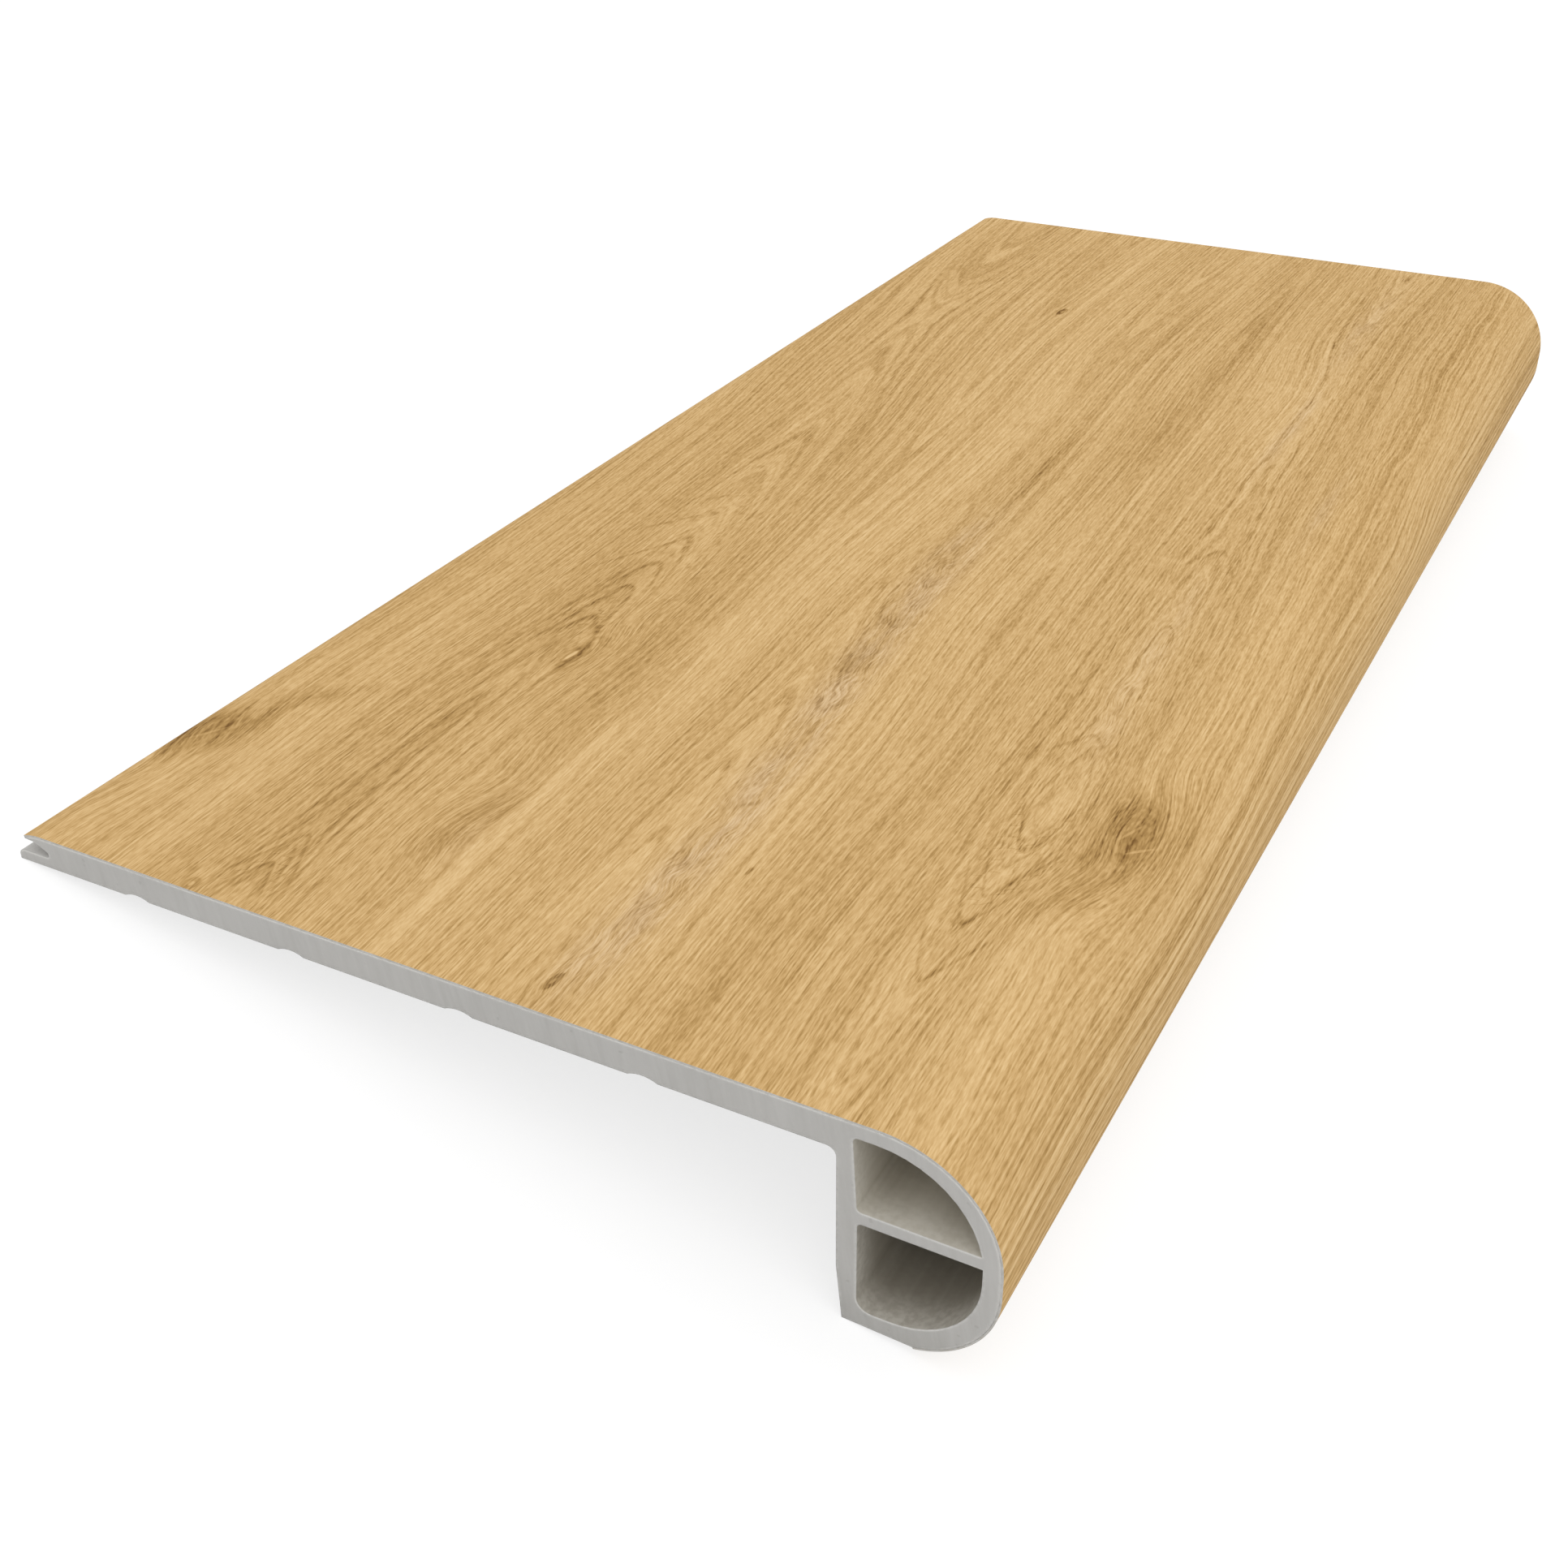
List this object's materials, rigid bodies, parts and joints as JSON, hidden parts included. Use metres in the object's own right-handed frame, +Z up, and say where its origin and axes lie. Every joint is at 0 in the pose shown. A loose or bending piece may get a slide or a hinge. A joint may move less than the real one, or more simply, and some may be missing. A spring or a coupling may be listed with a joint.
{
  "type": "flush stair nosing",
  "caption": "Flush stair nosing: a thin tread plate with a grooved back edge and a hollow bullnose front over a leg, wrapped in oak-look film; it caps a stair edge level with the floor.",
  "frame": {"origin": "centre of the bounding box in X and Y, on the floor that the piece lies on", "axes": "+Y along the extruded length, +X towards the nose, +Z up; the piece lies as it comes to rest, tread face up and sloping down to its back edge by 11.8 degrees"},
  "size_m": [0.1151, 0.262, 0.0249],
  "materials": {
    "core_plastic": "light grey rigid plastic, sawn at the ends",
    "oak_film": "printed warm oak film with a light embossed grain, low satin"
  },
  "bodies": {
    "root": {"extruded_core": "core_plastic", "decor_film": "oak_film"}
  },
  "joints": []
}
